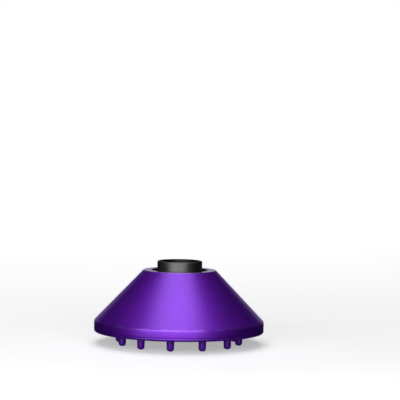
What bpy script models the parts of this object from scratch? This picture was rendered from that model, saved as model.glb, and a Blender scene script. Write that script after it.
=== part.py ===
"""A diffuser for a hair dryer, standing on the tips of its prongs.

The axis is Z. The origin is on the axis, in the plane that the outer prongs' tips rest on.
Lengths are in millimetres, and place() turns them into metres. Outlines are lists of corners
(radius, height) or (radius, height, fillet radius), turned about the axis.
"""

import math

import bmesh
import bpy
from mathutils import Vector

METRES = 0.001
GAP = 0.3  # between two pieces that touch
WELD = 1e-4
FULL_TURN = 2 * math.pi
SHARP_EDGE_DEG = 35
CUT_PAST = 1.0  # how far a cutter reaches past the faces it cuts

# Outside of the body
BODY_R = 68.5
LIP_Z = 10.0
JOINT_Z = 12.4  # middle of the joint between the front ring and the shell
RIM_R = 29.3
RIM_Z = 60.0
CONE_SLOPE = 0.954  # radius gained for each unit of height lost
BAND_FILLET = 2.0
RIM_FILLET = 0.5
LIP_FILLET = 1.5
EDGE_FILLET = 0.3
INLET_R = 22.6
SHELL_WALL = 2.0

# Front ring
LIP_R = 61.7  # inner edge of the lip
SPIGOT_R = 64.2
SPIGOT_WALL = 2.0
SPIGOT_Z = 16.2

# Heat shield, inside the shell
AIR_GAP = 3.0
SHIELD_WALL = 1.5
SHIELD_TOP_Z = 51.9
RIB_COUNT = 6
RIB_WIDTH = 1.4
RIB_SPAN_Z = (27.0, 45.0)
RIB_ROOT = 0.5  # how deep a rib is rooted in the wall

# Prong plate: an outer and an inner terrace, and a wall down to its flange
PLATE_WALL = 2.0
TERRACE_Z = 20.2
INNER_TERRACE_Z = 25.2
RISER_R = 38.5  # foot of the cone between the terraces
KNEE_R = 54.6
WALL_FOOT_R = 59.0
PLATE_FLANGE_R = 63.9
BOSS_R = 7.5
BOSS_Z = 23.6
COUNTERBORE_R = 3.2
COUNTERBORE_FLOOR_Z = 25.6
SCREW_HOLE_R = 1.5
SLOT_WIDTH = 2.4
OUTER_SLOTS = {"count": 24, "from_r": 42.0, "to_r": 52.5, "start_deg": 7.5}
INNER_SLOTS = {"count": 12, "from_r": 13.5, "to_r": 30.5, "start_deg": 15.0}
SLOT_END_STEPS = 3

# Prongs
PRONG_TIP_R = 2.9
PRONG_ROOT_R = 3.3
PRONG_FLAT_R = 0.8
PRONG_TIP_HEIGHT = 2.5
PRONG_TIP_SHOULDER = (2.3, 0.9)  # radius, and height above the tip
COLLAR_R = 4.3
COLLAR_THICKNESS = 1.2
PEG_R = 1.7
PEG_LENGTH = 3.5
PEG_HOLE_R = 2.1
OUTER_PRONGS = 12
OUTER_PRONG_CIRCLE_R = 48.7
INNER_PRONGS = 6
INNER_PRONG_CIRCLE_R = 26.0
INNER_PRONG_TIP_Z = 12.5

# Neck
NECK_R = 18.1
NECK_TOP_Z = 67.3
NECK_BOTTOM_Z = 44.7
NECK_MOUTH_R = 16.3
SEAL_LEDGE_Z = 61.8
NECK_BORE_R = 14.6
SCREEN_LEDGE_Z = 55.4
NECK_THROAT_R = 13.0
NECK_FLARE = 2.5

# Seal, screen and clip, stacked on the neck's two ledges
SEAL_WIDTH = 1.1
SEAL_HEIGHT = 1.3
SEAL_FILLET = 0.44
SCREEN_THICKNESS = 0.6
SCREEN_HOLE_R = 1.3
SCREEN_HOLE_SIDES = 6
SCREEN_HOLE_RINGS = 3
SCREEN_HOLE_PITCH = 3.8
CLIP_WIDTH = 1.4
CLIP_HEIGHT = 1.2

# Vane ring, keeper ring and magnet carrier, stacked under the rim
VANE_RING_R = (23.0, 27.2)
VANE_RING_Z = (48.2, 51.9)
VANE_COUNT = 6
VANE_START_DEG = 15.0
VANE_TOP_Z = 57.2
VANE_WIDTH = 1.4
KEEPER_R = (23.4, 27.8)
KEEPER_Z = (52.2, 53.0)
CARRIER_R = (22.9, 28.2)
CARRIER_Z = (53.3, 57.7)
MAGNET_COUNT = 8
MAGNET_CIRCLE_R = 25.55
MAGNET_R = 1.8
MAGNET_HEIGHT = 2.8
POCKET_R = 2.1

# Screws
VANE_SCREWS = 4
VANE_SCREW_CIRCLE_R = 25.3
VANE_SCREW_START_DEG = 22.5
VANE_SCREW = {"head_r": 1.9, "head_height": 1.2, "shank_r": 0.95, "shank_length": 8.6}
VANE_SCREW_HOLE_R = 1.3
CENTRE_SCREW = {"head_r": 2.8, "head_height": 1.4, "shank_r": 1.2, "shank_length": 7.5}
CENTRE_SCREW_HEAD_Z = 23.9
SCREW_POINT = 0.5
SCREW_CROWN = (0.8, 0.4)  # shares of the head's radius and height at which its top is chamfered

# Deflector and cap
STEM_R = 5.0
STEM_TOP_Z = 30.5
DEFLECTOR_R = 27.0
DEFLECTOR_EDGE = 1.0  # thickness of its rim
DEFLECTOR_EDGE_Z = 32.3
DEFLECTOR_TIP_Z = 42.5
DEFLECTOR_HOLE_TOP_Z = 34.0
CROWN_STEPS = 3
CAP_R = 6.5
CAP_Z = 21.8
CAP_CREST_R = 4.9
CAP_CREST_RISE = 0.3
CAP_EDGE_RISE = 0.9
CAP_PLUG_R = 2.9

# Sides of the turned pieces
LARGE_SIDES = 64
MEDIUM_SIDES = 40
SMALL_SIDES = 24
TINY_SIDES = 10
ARC_STEPS = 2


def clear_scene():
    for item in list(bpy.data.objects):
        bpy.data.objects.remove(item, do_unlink=True)


def plastic(name, colour, roughness, metallic=0.0):
    """A material with one Principled BSDF."""
    material = bpy.data.materials.new(name)
    material.use_nodes = True
    shader = material.node_tree.nodes["Principled BSDF"]
    shader.inputs["Base Color"].default_value = (*colour, 1.0)
    shader.inputs["Roughness"].default_value = roughness
    shader.inputs["Metallic"].default_value = metallic
    material.diffuse_color = (*colour, 1.0)
    return material


def cone_r(height, inset=0.0):
    """Radius of the cone at a height, after moving its surface inwards by inset."""
    return RIM_R + (RIM_Z - height) * CONE_SLOPE - inset * math.hypot(1.0, CONE_SLOPE)


def cone_z(radius, inset=0.0):
    """Height at which that surface has this radius."""
    return RIM_Z - (radius - RIM_R + inset * math.hypot(1.0, CONE_SLOPE)) / CONE_SLOPE


def rounded(corners, steps=ARC_STEPS):
    """The outline through these corners, with an arc at each corner that has a fillet radius."""
    points = []
    for index, corner in enumerate(corners):
        here = Vector(corner[:2])
        if len(corner) == 2:
            points.append(tuple(here))
            continue
        radius = corner[2]
        to_last = (Vector(corners[index - 1][:2]) - here).normalized()
        to_next = (Vector(corners[(index + 1) % len(corners)][:2]) - here).normalized()
        half_angle = to_last.angle(to_next) / 2
        centre = here + (to_last + to_next).normalized() * radius / math.sin(half_angle)
        first = here + to_last * radius / math.tan(half_angle) - centre
        last = here + to_next * radius / math.tan(half_angle) - centre
        start = math.atan2(first.y, first.x)
        sweep = math.atan2(last.y, last.x) - start
        sweep = (sweep + math.pi) % FULL_TURN - math.pi
        for step in range(steps + 1):
            angle = start + sweep * step / steps
            points.append((centre.x + radius * math.cos(angle), centre.y + radius * math.sin(angle)))
    return points


def on_circle(radius, degrees):
    """A point on a circle about the axis; 0 degrees is towards -Y and 90 towards +X."""
    angle = math.radians(degrees)
    return radius * math.sin(angle), -radius * math.cos(angle)


def evenly(count, start_deg=0.0):
    return [start_deg + 360.0 * index / count for index in range(count)]


def circle(count, radius, start_deg=0.0):
    """Points evenly spaced on a circle about the axis."""
    return [on_circle(radius, degrees) for degrees in evenly(count, start_deg)]


def mesh_of(name, shape):
    """A mesh in metres from a bmesh in millimetres, with its faces pointing out."""
    bmesh.ops.recalc_face_normals(shape, faces=shape.faces)
    bmesh.ops.scale(shape, vec=(METRES, METRES, METRES), verts=shape.verts)
    mesh = bpy.data.meshes.new(name)
    shape.to_mesh(mesh)
    shape.free()
    mesh.shade_smooth()
    mesh.set_sharp_from_angle(angle=math.radians(SHARP_EDGE_DEG))
    return mesh


def turned(name, outline, sides, from_axis=False):
    """A mesh turned from an outline: a ring, or a solid whose outline starts and ends on the axis."""
    shape = bmesh.new()
    corners = [shape.verts.new((radius, 0.0, height)) for radius, height in outline]
    ends = corners[1:] if from_axis else corners[1:] + corners[:1]
    edges = [shape.edges.new(pair) for pair in zip(corners, ends)]
    bmesh.ops.spin(
        shape,
        geom=corners + edges,
        cent=(0.0, 0.0, 0.0),
        axis=(0.0, 0.0, 1.0),
        angle=FULL_TURN,
        steps=sides,
        use_merge=True,
    )
    bmesh.ops.remove_doubles(shape, verts=shape.verts, dist=WELD)
    return mesh_of(name, shape)


def extruded(shape, outline, offset):
    """Adds a closed prism to the bmesh: the outline's points, moved both ways by offset."""
    low = [shape.verts.new(Vector(point) - offset) for point in outline]
    high = [shape.verts.new(Vector(point) + offset) for point in outline]
    shape.faces.new(low[::-1])
    shape.faces.new(high)
    for index in range(len(outline)):
        after = (index + 1) % len(outline)
        shape.faces.new((low[index], low[after], high[after], high[index]))


def upright_fins(name, outline, angles_deg, width):
    """Flat fins, each an outline of (radius, height) points stood at its angle about the axis."""
    shape = bmesh.new()
    for degrees in angles_deg:
        outwards = Vector((*on_circle(1.0, degrees), 0.0))
        sideways = Vector((-outwards.y, outwards.x, 0.0)) * width / 2
        points = [outwards * radius + Vector((0.0, 0.0, height)) for radius, height in outline]
        extruded(shape, points, sideways)
    return mesh_of(name, shape)


def upright_pins(name, centres, radius, low_z, high_z, sides=TINY_SIDES):
    """Round pins along Z, each as a prism."""
    shape = bmesh.new()
    middle = (low_z + high_z) / 2
    half = Vector((0.0, 0.0, (high_z - low_z) / 2))
    for x, y in centres:
        points = []
        for index in range(sides):
            angle = FULL_TURN * (index + 0.5) / sides
            points.append((x + radius * math.cos(angle), y + radius * math.sin(angle), middle))
        extruded(shape, points, half)
    return mesh_of(name, shape)


def radial_slots(name, slots, low_z, high_z):
    """Prisms with round ends that lie along radii."""
    shape = bmesh.new()
    half_width = SLOT_WIDTH / 2
    middle = (low_z + high_z) / 2
    half = Vector((0.0, 0.0, (high_z - low_z) / 2))
    for degrees in evenly(slots["count"], slots["start_deg"]):
        outwards = Vector((*on_circle(1.0, degrees), 0.0))
        sideways = Vector((-outwards.y, outwards.x, 0.0))
        points = []
        for end_r, turn in ((slots["to_r"] - half_width, 0.0), (slots["from_r"] + half_width, math.pi)):
            for step in range(SLOT_END_STEPS + 1):
                angle = turn - math.pi / 2 + math.pi * step / SLOT_END_STEPS
                along = end_r + half_width * math.cos(angle)
                across = half_width * math.sin(angle)
                points.append(outwards * along + sideways * across + Vector((0.0, 0.0, middle)))
        extruded(shape, points, half)
    return mesh_of(name, shape)


def place(name, mesh, material, at=(0.0, 0.0, 0.0)):
    """The named piece, with its mesh's origin at a point given in millimetres."""
    if not mesh.materials:
        mesh.materials.append(material)
    piece = bpy.data.objects.new(name, mesh)
    piece.location = Vector(at) * METRES
    bpy.context.scene.collection.objects.link(piece)
    return piece


def combine(piece, helper_mesh, operation):
    """Cuts a helper shape from the piece, or joins it on."""
    helper = bpy.data.objects.new(helper_mesh.name, helper_mesh)
    helper.hide_render = True
    helper.display_type = "WIRE"
    bpy.context.scene.collection.objects.link(helper)
    modifier = piece.modifiers.new(helper_mesh.name, "BOOLEAN")
    modifier.operation = operation
    modifier.solver = "EXACT"
    modifier.object = helper


def outer_shell(material):
    """Cone, upright band and flat top ring, in one wall."""
    bottom = JOINT_Z + GAP / 2
    flange_bottom = RIM_Z - SHELL_WALL
    inner_r = BODY_R - SHELL_WALL
    outline = rounded([
        (BODY_R, bottom, EDGE_FILLET),
        (BODY_R, cone_z(BODY_R), BAND_FILLET),
        (RIM_R, RIM_Z, RIM_FILLET),
        (INLET_R, RIM_Z, EDGE_FILLET),
        (INLET_R, flange_bottom),
        (cone_r(flange_bottom, SHELL_WALL), flange_bottom),
        (inner_r, cone_z(inner_r, SHELL_WALL)),
        (inner_r, bottom),
    ])
    place("outer_shell", turned("outer_shell", outline, LARGE_SIDES), material)


def front_ring(material):
    """Lip at the wide end, with a spigot that stands up inside the shell."""
    top = JOINT_Z - GAP / 2
    outline = rounded([
        (BODY_R, top, EDGE_FILLET),
        (BODY_R, LIP_Z, LIP_FILLET),
        (LIP_R, LIP_Z, EDGE_FILLET),
        (LIP_R, top),
        (SPIGOT_R, top),
        (SPIGOT_R, SPIGOT_Z),
        (SPIGOT_R + SPIGOT_WALL, SPIGOT_Z),
        (SPIGOT_R + SPIGOT_WALL, top),
    ])
    place("front_ring", turned("front_ring", outline, LARGE_SIDES), material)


def heat_shield(material):
    """Inner cone, with ribs that hold it away from the shell."""
    bottom = TERRACE_Z + PLATE_WALL + GAP
    outer = SHELL_WALL + AIR_GAP
    inner = outer + SHIELD_WALL
    outline = [
        (cone_r(SHIELD_TOP_Z, outer), SHIELD_TOP_Z),
        (cone_r(bottom, outer), bottom),
        (cone_r(bottom, inner), bottom),
        (cone_r(SHIELD_TOP_Z, inner), SHIELD_TOP_Z),
    ]
    shield = place("heat_shield", turned("heat_shield", outline, MEDIUM_SIDES), material)
    low, high = RIB_SPAN_Z
    rib = [
        (cone_r(high, outer + RIB_ROOT), high),
        (cone_r(high, SHELL_WALL + GAP), high),
        (cone_r(low, SHELL_WALL + GAP), low),
        (cone_r(low, outer + RIB_ROOT), low),
    ]
    ribs = upright_fins("heat_shield_ribs", rib, evenly(RIB_COUNT, VANE_START_DEG), RIB_WIDTH)
    combine(shield, ribs, "UNION")


def prong_plate(material):
    """Front plate in two terraces, with air slots and a hole for each prong's peg."""
    flange_bottom = JOINT_Z + GAP / 2
    flange_top = flange_bottom + PLATE_WALL
    riser_top_r = RISER_R - (INNER_TERRACE_Z - TERRACE_Z)
    outline = [
        (SCREW_HOLE_R, COUNTERBORE_FLOOR_Z),
        (COUNTERBORE_R, COUNTERBORE_FLOOR_Z),
        (COUNTERBORE_R, BOSS_Z),
        (BOSS_R, BOSS_Z),
        (BOSS_R, INNER_TERRACE_Z),
        (riser_top_r, INNER_TERRACE_Z),
        (RISER_R, TERRACE_Z),
        (KNEE_R, TERRACE_Z),
        (WALL_FOOT_R, flange_bottom),
        (PLATE_FLANGE_R, flange_bottom),
        (PLATE_FLANGE_R, flange_top),
        (WALL_FOOT_R + PLATE_WALL / 2, flange_top),
        (KNEE_R + PLATE_WALL, TERRACE_Z + PLATE_WALL),
        (RISER_R + PLATE_WALL / 2, TERRACE_Z + PLATE_WALL),
        (riser_top_r + PLATE_WALL / 2, INNER_TERRACE_Z + PLATE_WALL),
        (SCREW_HOLE_R, INNER_TERRACE_Z + PLATE_WALL),
    ]
    plate = place("prong_plate", turned("prong_plate", outline, MEDIUM_SIDES), material)
    cut_z = (TERRACE_Z - CUT_PAST, INNER_TERRACE_Z + PLATE_WALL + CUT_PAST)
    for name, slots in (("outer_slots", OUTER_SLOTS), ("inner_slots", INNER_SLOTS)):
        combine(plate, radial_slots(name, slots, *cut_z), "DIFFERENCE")
    centres = circle(OUTER_PRONGS, OUTER_PRONG_CIRCLE_R)
    centres += circle(INNER_PRONGS, INNER_PRONG_CIRCLE_R)
    combine(plate, upright_pins("peg_holes", centres, PEG_HOLE_R, *cut_z), "DIFFERENCE")


def prong_mesh(name, length):
    """A prong that stands on its tip: tapered body, collar, and the peg that presses into the plate."""
    body_top = length - COLLAR_THICKNESS
    outline = [
        (0.0, 0.0),
        (PRONG_FLAT_R, 0.0),
        PRONG_TIP_SHOULDER,
        (PRONG_TIP_R, PRONG_TIP_HEIGHT),
        (PRONG_ROOT_R, body_top),
        (COLLAR_R, body_top),
        (COLLAR_R, length),
        (PEG_R, length),
        (PEG_R, length + PEG_LENGTH),
        (0.0, length + PEG_LENGTH),
    ]
    return turned(name, outline, TINY_SIDES, from_axis=True)


def prongs(material):
    rings = (
        ("prong_outer", OUTER_PRONGS, OUTER_PRONG_CIRCLE_R, 0.0, TERRACE_Z, "02d"),
        ("prong_inner", INNER_PRONGS, INNER_PRONG_CIRCLE_R, INNER_PRONG_TIP_Z, INNER_TERRACE_Z, "d"),
    )
    for name, count, radius, tip_z, seat_z, digits in rings:
        mesh = prong_mesh(name, seat_z - GAP - tip_z)
        for number, (x, y) in enumerate(circle(count, radius), start=1):
            place(f"{name}_{number:{digits}}", mesh, material, (x, y, tip_z))


def neck(material):
    """Hollow tube, with a ledge for the seal and a lower one for the screen."""
    outline = rounded([
        (NECK_R, NECK_BOTTOM_Z),
        (NECK_R, NECK_TOP_Z, RIM_FILLET),
        (NECK_MOUTH_R, NECK_TOP_Z, EDGE_FILLET),
        (NECK_MOUTH_R, SEAL_LEDGE_Z),
        (NECK_BORE_R, SEAL_LEDGE_Z),
        (NECK_BORE_R, SCREEN_LEDGE_Z),
        (NECK_THROAT_R, SCREEN_LEDGE_Z),
        (NECK_THROAT_R, NECK_BOTTOM_Z + NECK_FLARE),
        (NECK_THROAT_R + NECK_FLARE, NECK_BOTTOM_Z),
    ])
    place("neck", turned("neck", outline, MEDIUM_SIDES), material)


def flat_ring(name, inner_r, outer_r, low_z, high_z, material, sides=MEDIUM_SIDES):
    outline = [(outer_r, low_z), (outer_r, high_z), (inner_r, high_z), (inner_r, low_z)]
    return place(name, turned(name, outline, sides), material)


def neck_fittings(rubber, steel, black):
    """Seal on the neck's upper ledge, and the screen under its clip on the lower one."""
    seal_outer_r = NECK_MOUTH_R - GAP
    seal_bottom = SEAL_LEDGE_Z + GAP
    outline = rounded([
        (seal_outer_r, seal_bottom),
        (seal_outer_r, seal_bottom + SEAL_HEIGHT, SEAL_FILLET),
        (seal_outer_r - SEAL_WIDTH, seal_bottom + SEAL_HEIGHT, SEAL_FILLET),
        (seal_outer_r - SEAL_WIDTH, seal_bottom),
    ], steps=1)
    place("neck_seal", turned("neck_seal", outline, MEDIUM_SIDES), rubber)

    screen_r = NECK_BORE_R - GAP
    screen_z = SCREEN_LEDGE_Z + GAP
    screen_top = screen_z + SCREEN_THICKNESS
    disc = upright_pins("inlet_screen", [(0.0, 0.0)], screen_r, screen_z, screen_top, MEDIUM_SIDES)
    screen = place("inlet_screen", disc, steel)
    holes = [(0.0, 0.0)]
    for ring in range(1, SCREEN_HOLE_RINGS + 1):
        holes += circle(6 * ring, ring * SCREEN_HOLE_PITCH)
    cut_z = (screen_z - CUT_PAST, screen_top + CUT_PAST)
    cutter = upright_pins("screen_holes", holes, SCREEN_HOLE_R, *cut_z, SCREEN_HOLE_SIDES)
    combine(screen, cutter, "DIFFERENCE")

    clip_z = screen_top + GAP
    flat_ring("screen_clip", screen_r - CLIP_WIDTH, screen_r, clip_z, clip_z + CLIP_HEIGHT, black)


def screw_holes(name, low_z, high_z):
    """Cutters for the vane screws' holes."""
    centres = circle(VANE_SCREWS, VANE_SCREW_CIRCLE_R, VANE_SCREW_START_DEG)
    return upright_pins(name, centres, VANE_SCREW_HOLE_R, low_z, high_z)


def vane_ring(material):
    """Ring with fins that reach in to the neck and up into the inlet."""
    ring = flat_ring("vane_ring", *VANE_RING_R, *VANE_RING_Z, material)
    low, high = VANE_RING_Z
    inner_r = NECK_R + GAP
    upper_r = INLET_R - GAP
    root_r = VANE_RING_R[0] + RIB_ROOT
    fin = [
        (inner_r, low),
        (root_r, low),
        (root_r, high),
        (upper_r, high),
        (upper_r, VANE_TOP_Z),
        (inner_r, VANE_TOP_Z),
    ]
    fins = upright_fins("vanes", fin, evenly(VANE_COUNT, VANE_START_DEG), VANE_WIDTH)
    combine(ring, fins, "UNION")
    combine(ring, screw_holes("vane_ring_holes", low - CUT_PAST, high + CUT_PAST), "DIFFERENCE")


def magnet_stack(black, steel, magnet_material):
    """Carrier with pockets open below, a magnet in each, and the keeper ring that closes them."""
    low, high = CARRIER_Z
    carrier = flat_ring("magnet_carrier", *CARRIER_R, low, high, black)
    pocket_top = low + GAP + MAGNET_HEIGHT + GAP
    centres = circle(MAGNET_COUNT, MAGNET_CIRCLE_R)
    pockets = upright_pins("pockets", centres, POCKET_R, low - CUT_PAST, pocket_top)
    combine(carrier, pockets, "DIFFERENCE")
    hole_top = VANE_RING_Z[0] + VANE_SCREW["shank_length"]
    combine(carrier, screw_holes("carrier_holes", low - CUT_PAST, hole_top), "DIFFERENCE")

    magnet = upright_pins("magnet", [(0.0, 0.0)], MAGNET_R, 0.0, MAGNET_HEIGHT)
    for number, (x, y) in enumerate(centres, start=1):
        place(f"magnet_{number}", magnet, magnet_material, (x, y, low + GAP))

    keeper = flat_ring("keeper_ring", *KEEPER_R, *KEEPER_Z, steel)
    keeper_low, keeper_high = KEEPER_Z
    holes = screw_holes("keeper_holes", keeper_low - CUT_PAST, keeper_high + CUT_PAST)
    combine(keeper, holes, "DIFFERENCE")


def screw_mesh(name, size):
    """A screw that points up, with its origin under its head; its thread is a plain shank."""
    top = size["head_height"] + size["shank_length"]
    crown_r, crown_height = SCREW_CROWN
    outline = [
        (0.0, 0.0),
        (size["head_r"] * crown_r, 0.0),
        (size["head_r"], size["head_height"] * crown_height),
        (size["head_r"], size["head_height"]),
        (size["shank_r"], size["head_height"]),
        (size["shank_r"], top - SCREW_POINT),
        (size["shank_r"] - SCREW_POINT, top),
        (0.0, top),
    ]
    return turned(name, outline, TINY_SIDES, from_axis=True)


def screws(material):
    mesh = screw_mesh("vane_screw", VANE_SCREW)
    head_z = VANE_RING_Z[0] - GAP - VANE_SCREW["head_height"]
    centres = circle(VANE_SCREWS, VANE_SCREW_CIRCLE_R, VANE_SCREW_START_DEG)
    for number, (x, y) in enumerate(centres, start=1):
        place(f"vane_screw_{number}", mesh, material, (x, y, head_z))
    centre_mesh = screw_mesh("centre_screw", CENTRE_SCREW)
    place("centre_screw", centre_mesh, material, (0.0, 0.0, CENTRE_SCREW_HEAD_Z))


def flow_deflector(material):
    """Mushroom on the plate's centre; its stem has a blind hole for the centre screw."""
    stem_bottom = INNER_TERRACE_Z + PLATE_WALL + GAP
    crown = []
    for step in range(CROWN_STEPS + 1):
        share = step / CROWN_STEPS
        height = DEFLECTOR_EDGE_Z + (DEFLECTOR_TIP_Z - DEFLECTOR_EDGE_Z) * share**2
        crown.append((DEFLECTOR_R * (1 - share), height))
    outline = [
        (0.0, DEFLECTOR_HOLE_TOP_Z),
        (SCREW_HOLE_R, DEFLECTOR_HOLE_TOP_Z),
        (SCREW_HOLE_R, stem_bottom),
        (STEM_R, stem_bottom),
        (STEM_R, STEM_TOP_Z),
        (DEFLECTOR_R - DEFLECTOR_EDGE, DEFLECTOR_EDGE_Z - DEFLECTOR_EDGE),
        *crown,
    ]
    place("flow_deflector", turned("flow_deflector", outline, SMALL_SIDES, from_axis=True), material)


def centre_cap(material):
    """Domed cap with a plug that closes the counterbore."""
    top = BOSS_Z - GAP
    plug_top = CENTRE_SCREW_HEAD_Z - GAP
    outline = [
        (0.0, CAP_Z),
        (CAP_CREST_R, CAP_Z + CAP_CREST_RISE),
        (CAP_R, CAP_Z + CAP_EDGE_RISE),
        (CAP_R, top),
        (CAP_PLUG_R, top),
        (CAP_PLUG_R, plug_top),
        (0.0, plug_top),
    ]
    place("centre_cap", turned("centre_cap", outline, SMALL_SIDES, from_axis=True), material)


def main():
    clear_scene()
    purple = plastic("shell_purple", (0.18, 0.06, 0.52), 0.32)
    lip_purple = plastic("lip_purple", (0.22, 0.09, 0.55), 0.35)
    prong_purple = plastic("prong_purple", (0.17, 0.06, 0.48), 0.38)
    black = plastic("neck_black", (0.02, 0.02, 0.022), 0.4)
    inner_black = plastic("inner_black", (0.025, 0.025, 0.028), 0.55)
    plate_black = plastic("plate_black", (0.022, 0.022, 0.025), 0.42)
    rubber = plastic("seal_rubber", (0.03, 0.03, 0.03), 0.8)
    dark_steel = plastic("screen_steel", (0.16, 0.16, 0.165), 0.4, 1.0)
    keeper_steel = plastic("keeper_steel", (0.5, 0.5, 0.5), 0.35, 1.0)
    screw_steel = plastic("screw_steel", (0.55, 0.55, 0.56), 0.3, 1.0)
    nickel = plastic("magnet_nickel", (0.66, 0.65, 0.62), 0.2, 1.0)

    outer_shell(purple)
    front_ring(lip_purple)
    heat_shield(inner_black)
    prong_plate(plate_black)
    prongs(prong_purple)
    neck(black)
    neck_fittings(rubber, dark_steel, inner_black)
    vane_ring(inner_black)
    magnet_stack(inner_black, keeper_steel, nickel)
    screws(screw_steel)
    flow_deflector(inner_black)
    centre_cap(prong_purple)


main()
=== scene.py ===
"""The looks of the dryer diffuser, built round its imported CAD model.

Lengths are in millimetres where a name doesn't say otherwise, and mesh_of() turns them into metres.
Outlines are lists of corners (radius, height) or (radius, height, fillet radius), turned about Z.
"""

import math

import bmesh
import bpy
from mathutils import Matrix, Vector


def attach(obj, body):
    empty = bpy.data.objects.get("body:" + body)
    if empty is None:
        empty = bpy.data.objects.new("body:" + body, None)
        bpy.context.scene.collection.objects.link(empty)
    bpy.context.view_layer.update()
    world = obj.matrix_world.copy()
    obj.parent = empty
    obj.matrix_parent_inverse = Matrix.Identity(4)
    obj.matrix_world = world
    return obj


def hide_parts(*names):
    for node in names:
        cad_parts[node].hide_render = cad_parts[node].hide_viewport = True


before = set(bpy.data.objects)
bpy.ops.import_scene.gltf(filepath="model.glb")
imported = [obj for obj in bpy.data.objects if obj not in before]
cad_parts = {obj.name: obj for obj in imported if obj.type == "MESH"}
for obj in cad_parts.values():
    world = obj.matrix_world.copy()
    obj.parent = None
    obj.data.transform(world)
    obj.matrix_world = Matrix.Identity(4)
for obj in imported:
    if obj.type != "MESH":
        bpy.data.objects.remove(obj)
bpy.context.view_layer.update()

METRES = 0.001
FULL_TURN = 2 * math.pi
WELD = 1e-5
GAP = 0.3  # between two pieces that touch

SHARP_DEG = 40.0  # edges sharper than this aren't smoothed over
CUT_PAST = 1.0  # how far a cutter reaches past the faces it cuts

# Sides and arc steps of the turned pieces
FINE_SIDES = 320
ROUND_SIDES = 180
SMALL_SIDES = 64
TINY_SIDES = 32
HEX_SIDES = 6
ARC_STEPS = 8
PLATE_ARC_STEPS = 5
COARSE_ARC_STEPS = 3
SLOT_END_STEPS = 10
CROWN_STEPS = 24

# Shell and lip
CONE_SLOPE = 0.954  # radius gained for each unit of height lost
RIM_R = 29.3
RIM_FILLET = 0.5
BAND_FILLET = 2.0
LIP_FILLET = 1.5
LIP_INNER_FILLET = 0.5
EDGE_FILLET = 0.3
WALL = 2.0

# Heat shield
AIR_GAP = 3.0  # between the shell and the heat shield
SHIELD_WALL = 1.5
SHIELD_RIB_Z = (27.0, 45.0)
RIB_ROOT = 0.5
RIB_WIDTH = 1.4
RIB_ANGLES = {"count": 6, "start_deg": 15.0}

# Prong plate
RISER_R = 38.5
RISER_FILLET = 1.5
KNEE_R = 54.6
KNEE_FILLET = 2.0
WALL_FOOT_R = 59.0
WALL_FOOT_FILLET = 0.6
BOSS_R = 7.5
BOSS_FILLET = 0.4
BOSS_FOOT_FILLET = 0.5
COUNTERBORE_R = 3.2
COUNTERBORE_FILLET = 0.2
COUNTERBORE_FLOOR_Z = 25.6
SCREW_HOLE_R = 1.5
PEG_HOLE_R = 2.1
SLOT_WIDTH = 2.4
OUTER_SLOTS = {"count": 24, "start_deg": 7.5, "from_r": 42.0, "to_r": 52.5}
INNER_SLOTS = {"count": 12, "start_deg": 15.0, "from_r": 13.5, "to_r": 30.5}

# Prongs
OUTER_PRONGS = {"count": 12, "radius": 48.7}
INNER_PRONGS = {"count": 6, "radius": 26.0}
PRONG_TIP_R = 2.9
PRONG_ROOT_R = 3.3
PRONG_FLAT_R = 0.6
PRONG_FLAT_FILLET = 0.05
PRONG_TIP_FILLET = 2.4
PRONG_ROOT_FILLET = 0.4
COLLAR_R = 4.3
COLLAR_THICKNESS = 1.2
PEG_R = 1.7
PEG_LENGTH = 3.5
PEG_FILLET = 0.5

# Neck and screen
NECK_THROAT_R = 13.0
NECK_FLARE = 2.5
FLARE_FILLET = 2.0
NECK_TOP_FILLET = 0.8
MOUTH_FILLET = 0.4
SEAL_LEDGE_FILLET = 0.2
SEAL_FILLET = 0.35
CLIP_FILLET = 0.25
SCREEN_HOLE_R = 1.3
SCREEN_HOLE_PITCH = 3.8
SCREEN_HOLE_RINGS = 3

# Magnets and screws
MAGNETS = 8
MAGNET_R = 1.8
MAGNET_FILLET = 0.25
POCKET_R = 2.1
CARRIER_FILLET = 0.4
KEEPER_FILLET = 0.15
VANE_SCREWS = {"count": 4, "radius": 25.3, "start_deg": 22.5}
VANE_SCREW_HOLE_R = 1.3
VANE_SCREW = {"head_r": 1.9, "head_height": 1.2, "shank_r": 0.95}
CENTRE_SCREW = {"head_r": 2.8, "head_height": 1.4, "shank_r": 1.2}
HEAD_ROUNDING = 0.55  # share of the head's height
HEAD_FILLET = 0.1
RECESS_WIDTH = 0.45  # share of the head's radius
RECESS_DEPTH = 0.6  # share of the head's height
SCREW_POINT = 0.5
POINT_FILLET = 0.2

# Deflector and cap
STEM_R = 5.0
STEM_TOP_Z = 30.5
STEM_TOP_FILLET = 1.0
DEFLECTOR_EDGE_Z = 32.3
DEFLECTOR_EDGE = 1.0  # thickness of its rim
DEFLECTOR_FILLET = 0.4
DEFLECTOR_HOLE_TOP_Z = 34.0
CAP_PLUG_R = 2.9
CAP_GROOVE_R = 4.75
CAP_GROOVE_MOUTH = 0.45  # half the groove's width at the dome
CAP_GROOVE_FLOOR = 0.2  # half its width at its floor
CAP_GROOVE_DEPTH = 0.4
CAP_GROOVE_FILLET = 0.2
CAP_GROOVE_FLOOR_FILLET = 0.1
CAP_FALL = (0.12, 0.2, 0.6)  # of the dome at the groove's two sides and at the cap's edge
CAP_EDGE_FILLET = 0.8
CAP_SEAT_FILLET = 0.15

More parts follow.
